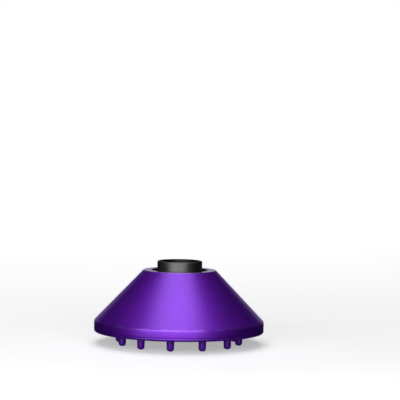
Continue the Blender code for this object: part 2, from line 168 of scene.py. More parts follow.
# Finishes; a noise's scale is in cycles per metre
NOISE_MIDDLE = (0.3, 0.7)  # most of a noise's values lie between these
NARROW_MIDDLE = (0.35, 0.65)
MASK_FADE = 0.1  # width of the step at the edge of a mask
DARKER = 0.75  # brightness of a colour's darker patches
FLAKE_SCALE = 1700.0
CLOUD_SCALE = 24.0
MARK_SCALE = 150.0
PEEL_SCALE = 700.0
EDGE_TINT = (0.6, 0.4, 0.8, 1.0)  # the paint's reflection where it is seen edge-on
COAT_IOR = 1.75
PAINTED_REFLECTION_PURPLE = (0.25, 0.15, 0.36)  # painted reflection: the polished top face's colour, paled to stand for the bright surroundings it reflects edge-on
BARE_ROUGHNESS = 0.18
# painted shade: near black for the shaded inner wall of the shell's hole
PAINT_SHADE_BLACK = (0.004, 0.004, 0.005)
# painted shade: near black for the neck's shaded top face and bore
PLASTIC_SHADE_BLACK = (0.02, 0.02, 0.021)
PAINT_BUMP = 0.0001  # bump distances are in metres
GRAIN_BUMP = 0.0001
SCRATCH_BUMP = 0.00005

# Studio, in metres, before it is turned with the camera
TOP_SOFTBOX = {
    "at": (-0.045, -0.09, 0.9), "target": (-0.045, -0.09, 0.0), "width": 0.68, "height": 2.2, "radiance": 1.67
}
FRONT_SOFTBOX = {
    "at": (-0.46, -1.3, 0.42), "target": (-0.46, 0.0, 0.42), "width": 2.5, "height": 0.84, "radiance": 4.05
}
FLOOR_SIZE = 16.0
FLOOR_COLOURS = ((0.76, 0.76, 0.77), (0.80, 0.80, 0.81))
FLOOR_GLOW = (0.38, 1.0)  # emission strength near the object and far from it
FLOOR_FADE = (0.15, 1.6)  # the distances between which it changes
WHITE = (1.0, 1.0, 1.0, 1.0)

# The glow behind the object, as parts of a unit direction, each from no glow to full glow
GLOW_BEHIND_Y = (0.88, 0.975)
GLOW_TOP_Z = (0.30, 0.14)
GLOW_BOTTOM_Z = (-0.12, 0.02)
GLOW_STRENGTH = (0.002, 0.66)

# Camera, as the photograph was taken: far off, a little right of the axis, looking slightly down
LENS_MM = 167.8
SENSOR_MM = 36.0
CAMERA_AT = Vector((15.5, -1500.0, 193.7))
CAMERA_PITCH_DEG = 2.94
CAMERA_ROLL_DEG = 0.88
CAMERA_TURN_DEG = 7.0


class Span:
    """Radii and heights of a CAD node, in millimetres."""

    def __init__(self, node):
        points = [vertex.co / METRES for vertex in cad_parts[node].data.vertices]
        radii = [math.hypot(point.x, point.y) for point in points]
        heights = [point.z for point in points]
        self.inner, self.outer = min(radii), max(radii)
        self.low, self.high = min(heights), max(heights)


SHELL = Span("outer_shell")
RING = Span("front_ring")
PLATE = Span("prong_plate")
NECK = Span("neck")
SEAL = Span("neck_seal")
SCREEN = Span("inlet_screen")
VANES = Span("vane_ring")
CARRIER = Span("magnet_carrier")
KEEPER = Span("keeper_ring")
OUTER_PRONG = Span("prong_outer_01")
INNER_PRONG = Span("prong_inner_1")


def cone_r(height, inset=0.0):
    """Radius of the cone at a height, after moving its surface inwards by inset."""
    return RIM_R + (SHELL.high - height) * CONE_SLOPE - inset * math.hypot(1.0, CONE_SLOPE)


def cone_z(radius, inset=0.0):
    """Height at which that surface has this radius."""
    return SHELL.high - (radius - RIM_R + inset * math.hypot(1.0, CONE_SLOPE)) / CONE_SLOPE


def rounded(corners, steps=ARC_STEPS):
    """The outline through these corners, with an arc at each corner that has a fillet radius."""
    points = []
    for index, corner in enumerate(corners):
        here = Vector(corner[:2])
        if len(corner) == 2:
            points.append(tuple(here))
            continue
        radius = corner[2]
        to_last = (Vector(corners[index - 1][:2]) - here).normalized()
        to_next = (Vector(corners[(index + 1) % len(corners)][:2]) - here).normalized()
        half_angle = to_last.angle(to_next) / 2
        centre = here + (to_last + to_next).normalized() * radius / math.sin(half_angle)
        first = here + to_last * radius / math.tan(half_angle) - centre
        last = here + to_next * radius / math.tan(half_angle) - centre
        start = math.atan2(first.y, first.x)
        sweep = math.atan2(last.y, last.x) - start
        sweep = (sweep + math.pi) % FULL_TURN - math.pi
        for step in range(steps + 1):
            angle = start + sweep * step / steps
            points.append((centre.x + radius * math.cos(angle), centre.y + radius * math.sin(angle)))
    return points


def on_circle(radius, degrees):
    """A point on a circle about the axis; 0 degrees is towards -Y and 90 towards +X."""
    angle = math.radians(degrees)
    return radius * math.sin(angle), -radius * math.cos(angle)


def evenly(count, start_deg=0.0):
    return [start_deg + 360.0 * index / count for index in range(count)]


def circle(count, radius, start_deg=0.0):
    """Points evenly spaced on a circle about the axis."""
    return [on_circle(radius, degrees) for degrees in evenly(count, start_deg)]


# ------------------------------------------------------------------- meshes


def mesh_of(name, shape):
    """A smooth-shaded mesh in metres from a bmesh in millimetres."""
    bmesh.ops.recalc_face_normals(shape, faces=shape.faces)
    bmesh.ops.scale(shape, vec=(METRES, METRES, METRES), verts=shape.verts)
    mesh = bpy.data.meshes.new(name)
    shape.to_mesh(mesh)
    shape.free()
    mesh.shade_smooth()
    mesh.set_sharp_from_angle(angle=math.radians(SHARP_DEG))
    return mesh


def turned(name, outline, sides, from_axis=False):
    """A mesh turned from an outline: a ring, or a solid whose outline starts and ends on the axis."""
    shape = bmesh.new()
    corners = [shape.verts.new((radius, 0.0, height)) for radius, height in outline]
    ends = corners[1:] if from_axis else corners[1:] + corners[:1]
    edges = [shape.edges.new(pair) for pair in zip(corners, ends)]
    bmesh.ops.spin(
        shape,
        geom=corners + edges,
        cent=(0.0, 0.0, 0.0),
        axis=(0.0, 0.0, 1.0),
        angle=FULL_TURN,
        steps=sides,
        use_merge=True,
    )
    bmesh.ops.remove_doubles(shape, verts=shape.verts, dist=WELD)
    return mesh_of(name, shape)


def extruded(shape, outline, offset):
    """Adds a closed prism to the bmesh: the outline's points, moved both ways by offset."""
    low = [shape.verts.new(Vector(point) - offset) for point in outline]
    high = [shape.verts.new(Vector(point) + offset) for point in outline]
    shape.faces.new(low[::-1])
    shape.faces.new(high)
    for index in range(len(outline)):
        after = (index + 1) % len(outline)
        shape.faces.new((low[index], low[after], high[after], high[index]))


def upright_fins(name, outline, angles_deg, width):
    """Flat fins, each an outline of (radius, height) points stood at its angle about the axis."""
    shape = bmesh.new()
    for degrees in angles_deg:
        outwards = Vector((*on_circle(1.0, degrees), 0.0))
        sideways = Vector((-outwards.y, outwards.x, 0.0)) * width / 2
        extruded(shape, [outwards * r + Vector((0.0, 0.0, z)) for r, z in outline], sideways)
    return mesh_of(name, shape)


def upright_pins(name, centres, radius, low_z, high_z, sides=TINY_SIDES):
    """Round pins along Z, each as a prism."""
    shape = bmesh.new()
    middle = (low_z + high_z) / 2
    half = Vector((0.0, 0.0, (high_z - low_z) / 2))
    for x, y in centres:
        angles = [FULL_TURN * (index + 0.5) / sides for index in range(sides)]
        points = [(x + radius * math.cos(a), y + radius * math.sin(a), middle) for a in angles]
        extruded(shape, points, half)
    return mesh_of(name, shape)


def radial_slots(name, slots, low_z, high_z):
    """Prisms with round ends that lie along radii."""
    shape = bmesh.new()
    half_width = SLOT_WIDTH / 2
    middle = (low_z + high_z) / 2
    half = Vector((0.0, 0.0, (high_z - low_z) / 2))
    for degrees in evenly(slots["count"], slots["start_deg"]):
        outwards = Vector((*on_circle(1.0, degrees), 0.0))
        sideways = Vector((-outwards.y, outwards.x, 0.0))
        points = []
        for end_r, turn in ((slots["to_r"] - half_width, 0.0), (slots["from_r"] + half_width, math.pi)):
            for step in range(SLOT_END_STEPS + 1):
                angle = turn - math.pi / 2 + math.pi * step / SLOT_END_STEPS
                along = end_r + half_width * math.cos(angle)
                across = half_width * math.sin(angle)
                points.append(outwards * along + sideways * across + Vector((0.0, 0.0, middle)))
        extruded(shape, points, half)
    return mesh_of(name, shape)


def combined(mesh, helpers):
    """A mesh after cutting shapes from it, or joining them on."""
    piece = bpy.data.objects.new(f"{mesh.name}_base", mesh)
    bpy.context.scene.collection.objects.link(piece)
    spare = [piece]
    for helper_mesh, operation in helpers:
        helper = bpy.data.objects.new(helper_mesh.name, helper_mesh)
        bpy.context.scene.collection.objects.link(helper)
        spare.append(helper)
        modifier = piece.modifiers.new(helper_mesh.name, "BOOLEAN")
        modifier.operation = operation
        modifier.solver = "EXACT"
        modifier.object = helper
    bpy.context.view_layer.update()
    evaluated = piece.evaluated_get(bpy.context.evaluated_depsgraph_get())
    result = bpy.data.meshes.new_from_object(evaluated)
    result.name = mesh.name
    for item in spare:
        bpy.data.objects.remove(item, do_unlink=True)
    result.shade_smooth()
    result.set_sharp_from_angle(angle=math.radians(SHARP_DEG))
    return result


def add_piece(name, mesh, finish, replaced, at=(0.0, 0.0, 0.0)):
    """A piece that rides on the body and stands for a CAD node."""
    if not mesh.materials:
        mesh.materials.append(FINISHES[finish])
    piece = bpy.data.objects.new(name, mesh)
    piece.location = Vector(at) * METRES
    bpy.context.scene.collection.objects.link(piece)
    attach(piece, "root")
    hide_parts(replaced)
    return piece


# ---------------------------------------------------------------- materials


class Nodes:
    """A material's node tree, with short calls for what the finishes share."""

    def __init__(self, name):
        self.material = bpy.data.materials.new(name)
        self.material.use_nodes = True
        self.tree = self.material.node_tree
        self.shader = self.tree.nodes["Principled BSDF"]
        self.place = self.add("ShaderNodeTexCoord").outputs["Object"]

    def add(self, kind, **settings):
        node = self.tree.nodes.new(kind)
        for key, value in settings.items():
            setattr(node, key, value)
        return node

    def link(self, start, end):
        self.tree.links.new(start, end)

    def to_shader(self, value, socket):
        self.link(value, self.shader.inputs[socket])

    def set(self, **values):
        for key, value in values.items():
            self.shader.inputs[key.replace("_", " ")].default_value = value

    def noise(self, scale, detail=3.0, roughness=0.5, stretch=(1.0, 1.0, 1.0)):
        """Noise of this scale, in cycles per metre, stretched along the axes."""
        mapping = self.add("ShaderNodeMapping")
        mapping.inputs["Scale"].default_value = stretch
        self.link(self.place, mapping.inputs["Vector"])
        noise = self.add("ShaderNodeTexNoise")
        noise.inputs["Scale"].default_value = scale
        noise.inputs["Detail"].default_value = detail
        noise.inputs["Roughness"].default_value = roughness
        self.link(mapping.outputs["Vector"], noise.inputs["Vector"])
        return noise.outputs["Fac"]

    def ramp(self, value, low, high, from_low=0.0, from_high=1.0):
        """The value mapped from one range to another, and held inside it."""
        node = self.add("ShaderNodeMapRange")
        node.inputs["From Min"].default_value = from_low
        node.inputs["From Max"].default_value = from_high
        node.inputs["To Min"].default_value = low
        node.inputs["To Max"].default_value = high
        self.link(value, node.inputs["Value"])
        return node.outputs["Result"]

    def mix(self, share, first, second):
        """A colour between two, each a colour or a socket."""
        node = self.add("ShaderNodeMix", data_type="RGBA")
        self.link(share, node.inputs["Factor"])
        for value, socket in ((first, node.inputs[6]), (second, node.inputs[7])):
            if isinstance(value, bpy.types.NodeSocket):
                self.link(value, socket)
            else:
                socket.default_value = (*value, 1.0)
        return node.outputs[2]

    def math(self, operation, first, second):
        node = self.add("ShaderNodeMath", operation=operation)
        for value, socket in ((first, node.inputs[0]), (second, node.inputs[1])):
            if isinstance(value, bpy.types.NodeSocket):
                self.link(value, socket)
            else:
                socket.default_value = value
        return node.outputs[0]

    def near_height(self, height, reach):
        """1 at a height given in millimetres, falling to 0 at reach above and below it."""
        split = self.add("ShaderNodeSeparateXYZ")
        self.link(self.place, split.inputs["Vector"])
        away = self.math("ABSOLUTE", self.math("SUBTRACT", split.outputs["Z"], height * METRES), 0.0)
        return self.ramp(away, 1.0, 0.0, 0.0, reach * METRES)

    def above(self, height):
        """1 above a height given in millimetres, and 0 below it."""
        split = self.add("ShaderNodeSeparateXYZ")
        self.link(self.place, split.inputs["Vector"])
        return self.ramp(split.outputs["Z"], 0.0, 1.0, (height - MASK_FADE) * METRES, height * METRES)

    def outside(self, radius):
        """1 outside a radius given in millimetres, and 0 inside it."""
        split = self.add("ShaderNodeSeparateXYZ")
        self.link(self.place, split.inputs["Vector"])
        flat = self.add("ShaderNodeCombineXYZ")
        self.link(split.outputs["X"], flat.inputs["X"])
        self.link(split.outputs["Y"], flat.inputs["Y"])
        length = self.add("ShaderNodeVectorMath", operation="LENGTH")
        self.link(flat.outputs["Vector"], length.inputs[0])
        return self.ramp(length.outputs["Value"], 0.0, 1.0, (radius - MASK_FADE) * METRES, radius * METRES)

    def mix_value(self, share, first, second):
        node = self.add("ShaderNodeMix")
        for value, socket in ((share, node.inputs[0]), (first, node.inputs[2]), (second, node.inputs[3])):
            if isinstance(value, bpy.types.NodeSocket):
                self.link(value, socket)
            else:
                socket.default_value = value
        return node.outputs[0]

    def bump(self, height, strength, distance):
        node = self.add("ShaderNodeBump")
        node.inputs["Strength"].default_value = strength
        node.inputs["Distance"].default_value = distance
        self.link(height, node.inputs["Height"])
        self.to_shader(node.outputs["Normal"], "Normal")


def satin_paint(
    name, deep, light, metallic, roughness, coat, coat_roughness, edges=(), polished_sheen_above=None, painted_shade_r=None
):
    """Satin metallic paint: fine flake, slow cloudiness, rubbed edges, faint marks and orange peel.

    Each edge is a (height, reach) where the paint has been rubbed lighter and smoother. Above the polished
    height the surface is smooth and painted paler, a painted reflection of bright surroundings seen edge-on,
    and inside the given radius the colour is near black, painted shade on a shaded inner wall."""
    nodes = Nodes(name)
    flake = nodes.noise(FLAKE_SCALE, detail=2.0)
    cloud = nodes.noise(CLOUD_SCALE, detail=4.0)
    share = nodes.ramp(nodes.math("ADD", flake, cloud), 0.0, 1.0, 0.75, 1.25)
    colour = nodes.mix(share, deep, light)
    marks = nodes.noise(MARK_SCALE, detail=6.0, roughness=0.65, stretch=(1.0, 1.0, 3.0))
    rough = nodes.ramp(marks, roughness - 0.04, roughness + 0.04, *NOISE_MIDDLE)
    for height, reach in edges:
        wear = nodes.ramp(marks, 0.0, 1.0, 0.45, 0.65)
        rubbed = nodes.math("MULTIPLY", nodes.near_height(height, reach), wear)
        colour = nodes.mix(rubbed, colour, tuple(0.75 * value + 0.12 for value in light))
        rough = nodes.math("SUBTRACT", rough, nodes.math("MULTIPLY", rubbed, 0.08))
    # polished top: lower roughness, and a paler colour that is a painted reflection of bright surroundings
    if polished_sheen_above is not None:
        polished_sheen = nodes.above(polished_sheen_above)
        colour = nodes.mix(polished_sheen, colour, PAINTED_REFLECTION_PURPLE)
        rough = nodes.mix_value(polished_sheen, rough, BARE_ROUGHNESS)
    # painted shade: near black inside the given radius, where the wall sits in shade
    if painted_shade_r is not None:
        colour = nodes.mix(nodes.outside(painted_shade_r), PAINT_SHADE_BLACK, colour)
    nodes.to_shader(colour, "Base Color")
    nodes.to_shader(rough, "Roughness")
    nodes.bump(nodes.math("ADD", nodes.noise(PEEL_SCALE, detail=2.0), flake), 0.08, PAINT_BUMP)
    nodes.set(Metallic=metallic, Specular_Tint=EDGE_TINT)
    nodes.set(Coat_Weight=coat, Coat_Roughness=coat_roughness, Coat_IOR=COAT_IOR)
    return nodes.material


def moulded_plastic(
    name, colour, roughness, grain=1500.0, bump=0.12, metallic=0.0, specular=0.5, painted_shade_r=None
):
    """Moulded plastic with a spark-eroded grain and slightly uneven gloss.

    Inside the given radius the colour is near black: painted shade for a shaded top face and bore."""
    nodes = Nodes(name)
    darker = tuple(DARKER * value for value in colour)
    cloud = nodes.ramp(nodes.noise(60.0, detail=5.0), 0.0, 1.0, *NARROW_MIDDLE)
    shade = nodes.mix(cloud, darker, colour)
    # painted shade: near black inside the given radius
    if painted_shade_r is not None:
        shade = nodes.mix(nodes.outside(painted_shade_r), PLASTIC_SHADE_BLACK, shade)
    nodes.to_shader(shade, "Base Color")
    gloss = nodes.noise(220.0, detail=5.0)
    nodes.to_shader(nodes.ramp(gloss, roughness - 0.05, roughness + 0.07, *NOISE_MIDDLE), "Roughness")
    nodes.bump(nodes.noise(grain, detail=3.0), bump, GRAIN_BUMP)
    nodes.set(Metallic=metallic, Specular_IOR_Level=specular)
    return nodes.material


def plated_metal(name, colour, roughness):
    """Plated or pressed metal with fine random scratches."""
    nodes = Nodes(name)
    scratches = nodes.noise(500.0, detail=6.0, roughness=0.7, stretch=(8.0, 1.0, 1.0))
    darker = tuple(DARKER * value for value in colour)
    share = nodes.ramp(scratches, 0.0, 1.0, *NARROW_MIDDLE)
    nodes.to_shader(nodes.mix(share, darker, colour), "Base Color")
    nodes.to_shader(nodes.ramp(scratches, roughness - 0.08, roughness + 0.12, *NOISE_MIDDLE), "Roughness")
    nodes.bump(scratches, 0.1, SCRATCH_BUMP)
    nodes.set(Metallic=1.0)
    return nodes.material


RIDGE_Z = cone_z(SHELL.outer)
FINISHES = {
    "shell_purple": satin_paint(
        "shell_purple", (0.18, 0.005, 0.59), (0.235, 0.011, 0.745),
        metallic=0.98, roughness=0.50, coat=0.7, coat_roughness=0.33,
        # above SHELL.high - 0.1 the top face is smooth, with a painted reflection in its paler colour
        edges=((RIDGE_Z, 1.2), (SHELL.high - 0.3, 0.3)), polished_sheen_above=SHELL.high - 0.1,
        # painted shade: the hole's inner wall is near black
        painted_shade_r=SHELL.inner + 0.3,
    ),
    "lip_purple": satin_paint(
        "lip_purple", (0.15, 0.006, 0.56), (0.20, 0.012, 0.70),
        metallic=0.95, roughness=0.5, coat=0.7, coat_roughness=0.3,
        edges=((RING.low + 0.7, 0.55),),
    ),
    # painted shade: the shell's purple darkened for the prongs and cap, which sit in shade under the shell
    "prong_purple": satin_paint(
        "prong_purple", (0.10, 0.006, 0.39), (0.145, 0.010, 0.51),
        metallic=0.7, roughness=0.42, coat=0.4, coat_roughness=0.3,
    ),
    # painted shade: inside NECK.outer - 0.6 the neck's top face and bore are near black
    "neck_black": moulded_plastic(
        "neck_black", (0.12, 0.12, 0.122), 0.42, metallic=0.97, bump=0.08, painted_shade_r=NECK.outer - 0.6
    ),
    "inner_black": moulded_plastic("inner_black", (0.02, 0.02, 0.022), 0.55),
    "plate_black": moulded_plastic("plate_black", (0.018, 0.018, 0.02), 0.42),
    "seal_rubber": moulded_plastic("seal_rubber", (0.016, 0.016, 0.016), 0.75, specular=0.3),
    "screen_steel": plated_metal("screen_steel", (0.12, 0.12, 0.125), 0.4),
    "keeper_steel": plated_metal("keeper_steel", (0.5, 0.5, 0.5), 0.35),
    "screw_steel": plated_metal("screw_steel", (0.6, 0.6, 0.61), 0.28),
    "magnet_nickel": plated_metal("magnet_nickel", (0.68, 0.66, 0.62), 0.18),
}

# ------------------------------------------------------------------- pieces


def outer_shell():
    flange_bottom = SHELL.high - WALL
    inner_r = SHELL.outer - WALL
    outline = rounded([
        (SHELL.outer, SHELL.low, EDGE_FILLET),
        (SHELL.outer, RIDGE_Z, BAND_FILLET),
        (RIM_R, SHELL.high, RIM_FILLET),
        (SHELL.inner, SHELL.high, EDGE_FILLET),
        (SHELL.inner, flange_bottom),
        (cone_r(flange_bottom, WALL), flange_bottom),
        (inner_r, cone_z(inner_r, WALL)),
        (inner_r, SHELL.low),
    ])
    add_piece("shell_cone", turned("shell_cone", outline, FINE_SIDES), "shell_purple", "outer_shell")


def front_ring():
    top = SHELL.low - GAP
    spigot_outer = SHELL.outer - WALL - GAP
    spigot_inner = spigot_outer - WALL
    outline = rounded([
        (RING.outer, top, EDGE_FILLET),
        (RING.outer, RING.low, LIP_FILLET),
        (RING.inner, RING.low, LIP_INNER_FILLET),
        (RING.inner, top),
        (spigot_inner, top),
        (spigot_inner, RING.high),
        (spigot_outer, RING.high),
        (spigot_outer, top),
    ])
    add_piece("lip_ring", turned("lip_ring", outline, FINE_SIDES), "lip_purple", "front_ring")


def prong_plate():
    """Front plate in two terraces, with air slots and a hole for each prong's peg."""
    terrace = OUTER_PRONG.high - PEG_LENGTH + GAP
    inner_terrace = INNER_PRONG.high - PEG_LENGTH + GAP
    flange_top = PLATE.low + WALL
    riser_top_r = RISER_R - (inner_terrace - terrace)
    boss_z = Span("centre_cap").high
    outline = rounded([
        (SCREW_HOLE_R, COUNTERBORE_FLOOR_Z),
        (COUNTERBORE_R, COUNTERBORE_FLOOR_Z),
        (COUNTERBORE_R, boss_z, COUNTERBORE_FILLET),
        (BOSS_R, boss_z, BOSS_FILLET),
        (BOSS_R, inner_terrace, BOSS_FOOT_FILLET),
        (riser_top_r, inner_terrace, RISER_FILLET),
        (RISER_R, terrace, RISER_FILLET),
        (KNEE_R, terrace, KNEE_FILLET),
        (WALL_FOOT_R, PLATE.low, WALL_FOOT_FILLET),
        (PLATE.outer, PLATE.low),
        (PLATE.outer, flange_top),
        (WALL_FOOT_R + WALL / 2, flange_top),
        (KNEE_R + WALL, terrace + WALL),
        (RISER_R + WALL / 2, terrace + WALL),
        (riser_top_r + WALL / 2, inner_terrace + WALL),
        (SCREW_HOLE_R, inner_terrace + WALL),
    ], steps=PLATE_ARC_STEPS)
    low, high = terrace - CUT_PAST, inner_terrace + WALL + CUT_PAST
    pegs = circle(**OUTER_PRONGS) + circle(**INNER_PRONGS)
    mesh = combined(
        turned("prong_plate_fine", outline, ROUND_SIDES),
        (
            (radial_slots("outer_slots", OUTER_SLOTS, low, high), "DIFFERENCE"),
            (radial_slots("inner_slots", INNER_SLOTS, low, high), "DIFFERENCE"),
            (upright_pins("peg_holes", pegs, PEG_HOLE_R, low, high), "DIFFERENCE"),
        ),
    )
    add_piece("prong_plate_fine", mesh, "plate_black", "prong_plate")


def prong_outline(length):
    """A tapered body with a round tip that ends in a small flat, a collar and a peg."""
    body_top = length - COLLAR_THICKNESS
    return rounded([
        (0.0, 0.0),
        (PRONG_FLAT_R, 0.0, PRONG_FLAT_FILLET),
        (PRONG_TIP_R, 0.0, PRONG_TIP_FILLET),
        (PRONG_ROOT_R, body_top, PRONG_ROOT_FILLET),
        (COLLAR_R, body_top, EDGE_FILLET),
        (COLLAR_R, length),
        (PEG_R, length),
        (PEG_R, length + PEG_LENGTH, PEG_FILLET),
        (0.0, length + PEG_LENGTH),
    ])


def prongs():
    rings = (
        ("prong_outer", OUTER_PRONGS, "02d", OUTER_PRONG),
        ("prong_inner", INNER_PRONGS, "d", INNER_PRONG),
    )
    for name, ring, digits, span in rings:
        outline = prong_outline(span.high - span.low - PEG_LENGTH)
        mesh = turned(f"{name}_mesh", outline, SMALL_SIDES, from_axis=True)
        for number, (x, y) in enumerate(circle(**ring), start=1):
            node = f"{name}_{number:{digits}}"
            add_piece(f"{node}_fine", mesh, "prong_purple", node, (x, y, span.low))


def neck():
    seal_ledge = SEAL.low - GAP
    screen_ledge = SCREEN.low - GAP
    mouth_r = SEAL.outer + GAP
    bore_r = SCREEN.outer + GAP
    outline = rounded([
        (NECK.outer, NECK.low, EDGE_FILLET),
        (NECK.outer, NECK.high, NECK_TOP_FILLET),
        (mouth_r, NECK.high, MOUTH_FILLET),
        (mouth_r, seal_ledge, SEAL_LEDGE_FILLET),
        (bore_r, seal_ledge, EDGE_FILLET),
        (bore_r, screen_ledge),
        (NECK_THROAT_R, screen_ledge, EDGE_FILLET),
        (NECK_THROAT_R, NECK.low + NECK_FLARE, FLARE_FILLET),
        (NECK_THROAT_R + NECK_FLARE, NECK.low, EDGE_FILLET),
    ])
    add_piece("neck_tube", turned("neck_tube", outline, ROUND_SIDES), "neck_black", "neck")


def ring_outline(span, ease):
    """A ring of rectangular section with its four edges eased."""
    return rounded([
        (span.outer, span.low, ease),
        (span.outer, span.high, ease),
        (span.inner, span.high, ease),
        (span.inner, span.low, ease),
    ], steps=COARSE_ARC_STEPS)


def neck_fittings():
    seal = turned("seal_fine", ring_outline(SEAL, SEAL_FILLET), ROUND_SIDES)
    add_piece("seal_fine", seal, "seal_rubber", "neck_seal")
    clip = turned("clip_fine", ring_outline(Span("screen_clip"), CLIP_FILLET), ROUND_SIDES)
    add_piece("clip_fine", clip, "inner_black", "screen_clip")

    disc = upright_pins("screen_fine", [(0.0, 0.0)], SCREEN.outer, SCREEN.low, SCREEN.high, ROUND_SIDES)
    holes = [(0.0, 0.0)]
    for ring in range(1, SCREEN_HOLE_RINGS + 1):
        holes += circle(HEX_SIDES * ring, ring * SCREEN_HOLE_PITCH)
    low, high = SCREEN.low - CUT_PAST, SCREEN.high + CUT_PAST
    cutter = upright_pins("screen_holes", holes, SCREEN_HOLE_R, low, high)
    add_piece("screen_fine", combined(disc, ((cutter, "DIFFERENCE"),)), "screen_steel", "inlet_screen")


def screw_holes(name, low, high):
    """Cutters for the vane screws' holes."""
    return upright_pins(name, circle(**VANE_SCREWS), VANE_SCREW_HOLE_R, low, high)


def vane_ring():
    """Ring with fins that reach in to the neck and up into the inlet."""
    ring_high = KEEPER.low - GAP
    span = Span("vane_ring")
    span.inner, span.high = CARRIER.inner, ring_high  # the node's own span includes its fins
    fin = [
        (VANES.inner, VANES.low),
        (span.inner + RIB_ROOT, VANES.low),
        (span.inner + RIB_ROOT, ring_high),
        (SHELL.inner - GAP, ring_high),
        (SHELL.inner - GAP, VANES.high),
        (VANES.inner, VANES.high),
    ]
    mesh = combined(
        turned("vane_ring_fine", ring_outline(span, EDGE_FILLET), ROUND_SIDES),
        (
            (upright_fins("vanes", fin, evenly(**RIB_ANGLES), RIB_WIDTH), "UNION"),
            (screw_holes("vane_holes", VANES.low - CUT_PAST, ring_high + CUT_PAST), "DIFFERENCE"),
        ),
    )
    add_piece("vane_ring_fine", mesh, "inner_black", "vane_ring")


def magnet_stack():
    """Carrier with pockets open below, a magnet in each, and the keeper ring that closes them."""
    magnet = Span("magnet_1")
    centres = circle(MAGNETS, (magnet.outer + magnet.inner) / 2)
    low = CARRIER.low - CUT_PAST
    hole_top = Span("vane_screw_1").high + GAP
    mesh = combined(
        turned("carrier_fine", ring_outline(CARRIER, CARRIER_FILLET), ROUND_SIDES),
        (
            (upright_pins("pockets", centres, POCKET_R, low, magnet.high + GAP), "DIFFERENCE"),
            (screw_holes("carrier_holes", low, hole_top), "DIFFERENCE"),
        ),
    )
    add_piece("carrier_fine", mesh, "inner_black", "magnet_carrier")

    holes = screw_holes("keeper_holes", KEEPER.low - CUT_PAST, KEEPER.high + CUT_PAST)
    keeper = turned("keeper_fine", ring_outline(KEEPER, KEEPER_FILLET), ROUND_SIDES)
    keeper = combined(keeper, ((holes, "DIFFERENCE"),))
    add_piece("keeper_fine", keeper, "keeper_steel", "keeper_ring")

    height = magnet.high - magnet.low
    outline = rounded([
        (0.0, 0.0),
        (MAGNET_R, 0.0, MAGNET_FILLET),
        (MAGNET_R, height, MAGNET_FILLET),
        (0.0, height),
    ], steps=COARSE_ARC_STEPS)
    disc = turned("magnet_mesh", outline, SMALL_SIDES, from_axis=True)
    for number, (x, y) in enumerate(centres, start=1):
        add_piece(f"magnet_fine_{number}", disc, "magnet_nickel", f"magnet_{number}", (x, y, magnet.low))


def screw_mesh(name, length, head_r, head_height, shank_r):
    """A screw that points up from its head, which has a hexagonal recess; its thread is a plain shank."""
    outline = rounded([
        (0.0, 0.0),
        (head_r, 0.0, head_height * HEAD_ROUNDING),
        (head_r, head_height, HEAD_FILLET),
        (shank_r, head_height),
        (shank_r, length - SCREW_POINT, POINT_FILLET),
        (shank_r - SCREW_POINT, length),
        (0.0, length),
    ], steps=COARSE_ARC_STEPS)
    recess_r, recess_depth = head_r * RECESS_WIDTH, head_height * RECESS_DEPTH
    recess = upright_pins(f"{name}_recess", [(0.0, 0.0)], recess_r, -CUT_PAST, recess_depth, HEX_SIDES)
    return combined(turned(name, outline, SMALL_SIDES, from_axis=True), ((recess, "DIFFERENCE"),))


def screws():
    span = Span("centre_screw")
    mesh = screw_mesh("centre_screw_mesh", span.high - span.low, **CENTRE_SCREW)
    add_piece("centre_screw_fine", mesh, "screw_steel", "centre_screw", (0.0, 0.0, span.low))
    span = Span("vane_screw_1")
    mesh = screw_mesh("vane_screw_mesh", span.high - span.low, **VANE_SCREW)
    for number, (x, y) in enumerate(circle(**VANE_SCREWS), start=1):
        node = f"vane_screw_{number}"
        add_piece(f"{node}_fine", mesh, "screw_steel", node, (x, y, span.low))


def heat_shield():
    """Inner cone, with ribs that hold it away from the shell."""
    span = Span("heat_shield")
    outer = WALL + AIR_GAP
    inner = outer + SHIELD_WALL
    outline = rounded([
        (cone_r(span.high, outer), span.high, EDGE_FILLET),
        (cone_r(span.low, outer), span.low, EDGE_FILLET),
        (cone_r(span.low, inner), span.low),
        (cone_r(span.high, inner), span.high),
    ], steps=COARSE_ARC_STEPS)
    rib_low, rib_high = SHIELD_RIB_Z
    rib = [
        (cone_r(rib_high, outer + RIB_ROOT), rib_high),
        (cone_r(rib_high, WALL + GAP), rib_high),
        (cone_r(rib_low, WALL + GAP), rib_low),
        (cone_r(rib_low, outer + RIB_ROOT), rib_low),
    ]
    ribs = upright_fins("shield_ribs", rib, evenly(**RIB_ANGLES), RIB_WIDTH)
    mesh = combined(turned("shield_fine", outline, ROUND_SIDES), ((ribs, "UNION"),))
    add_piece("shield_fine", mesh, "inner_black", "heat_shield")


def flow_deflector():
    """Mushroom on the plate's centre; its stem has a blind hole for the centre screw."""
    span = Span("flow_deflector")
    crown = []
    for step in range(CROWN_STEPS + 1):
        share = step / CROWN_STEPS
        rise = (span.high - DEFLECTOR_EDGE_Z) * share**2
        crown.append((span.outer * (1 - share), DEFLECTOR_EDGE_Z + rise))
    outline = rounded([
        (0.0, DEFLECTOR_HOLE_TOP_Z),
        (SCREW_HOLE_R, DEFLECTOR_HOLE_TOP_Z),
        (SCREW_HOLE_R, span.low),
        (STEM_R, span.low, EDGE_FILLET),
        (STEM_R, STEM_TOP_Z, STEM_TOP_FILLET),
        (span.outer - DEFLECTOR_EDGE, DEFLECTOR_EDGE_Z - DEFLECTOR_EDGE, DEFLECTOR_FILLET),
        *crown,
    ])
    mesh = turned("deflector_fine", outline, ROUND_SIDES, from_axis=True)
    add_piece("deflector_fine", mesh, "inner_black", "flow_deflector")


